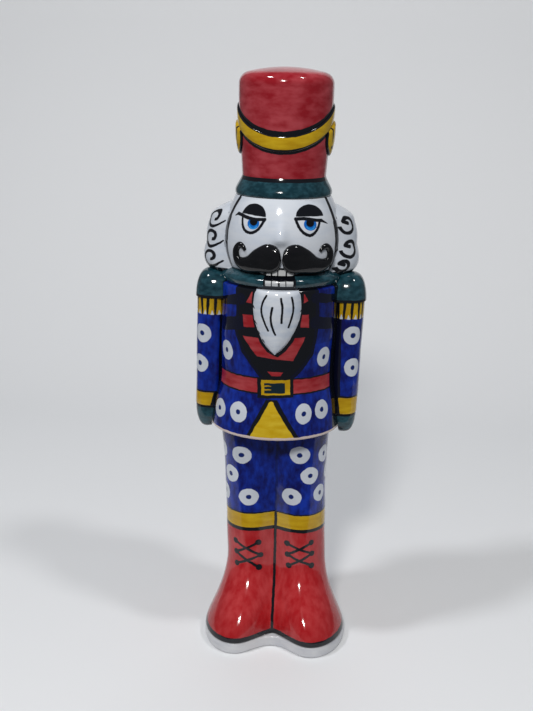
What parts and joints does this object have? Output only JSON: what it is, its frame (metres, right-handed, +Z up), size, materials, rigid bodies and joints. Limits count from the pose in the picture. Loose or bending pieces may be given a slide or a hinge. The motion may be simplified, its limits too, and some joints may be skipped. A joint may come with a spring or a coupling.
{
  "type": "nutcracker figure",
  "caption": "Free-standing glazed earthenware nutcracker soldier with tall hat, epaulettes, moustache, beard and painted boots; a fixed seasonal ornament.",
  "frame": {"origin": "on the underside of the sole, on the axis of the lathe-shaped body", "axes": "+Z up, -Y towards the front of the figure, +X to the right as seen from the front"},
  "size_m": [0.088, 0.0705, 0.3015],
  "materials": {
    "white_glaze": "glossy clear glaze over brushed colour",
    "red_glaze": "glossy clear glaze over brushed colour",
    "blue_glaze": "glossy clear glaze over brushed colour",
    "teal_glaze": "glossy clear glaze over brushed colour",
    "yellow_glaze": "glossy clear glaze over brushed colour",
    "black_glaze": "glossy clear glaze over brushed colour"
  },
  "bodies": {
    "root": {"sole": "white_glaze", "boot_left": "red_glaze", "boot_right": "red_glaze", "leg_left": "blue_glaze", "leg_right": "blue_glaze", "coat": "blue_glaze", "collar": "teal_glaze", "epaulette_left": "teal_glaze", "epaulette_right": "teal_glaze", "arm_left": "blue_glaze", "arm_right": "blue_glaze", "hand_left": "teal_glaze", "hand_right": "teal_glaze", "head": "white_glaze", "hair_left": "white_glaze", "hair_right": "white_glaze", "moustache_left": "black_glaze", "moustache_right": "black_glaze", "beard": "white_glaze", "hat_visor": "teal_glaze", "hat_crown": "red_glaze", "hat_strap": "yellow_glaze", "hat_plaque_left": "yellow_glaze", "hat_plaque_right": "yellow_glaze"}
  },
  "joints": []
}
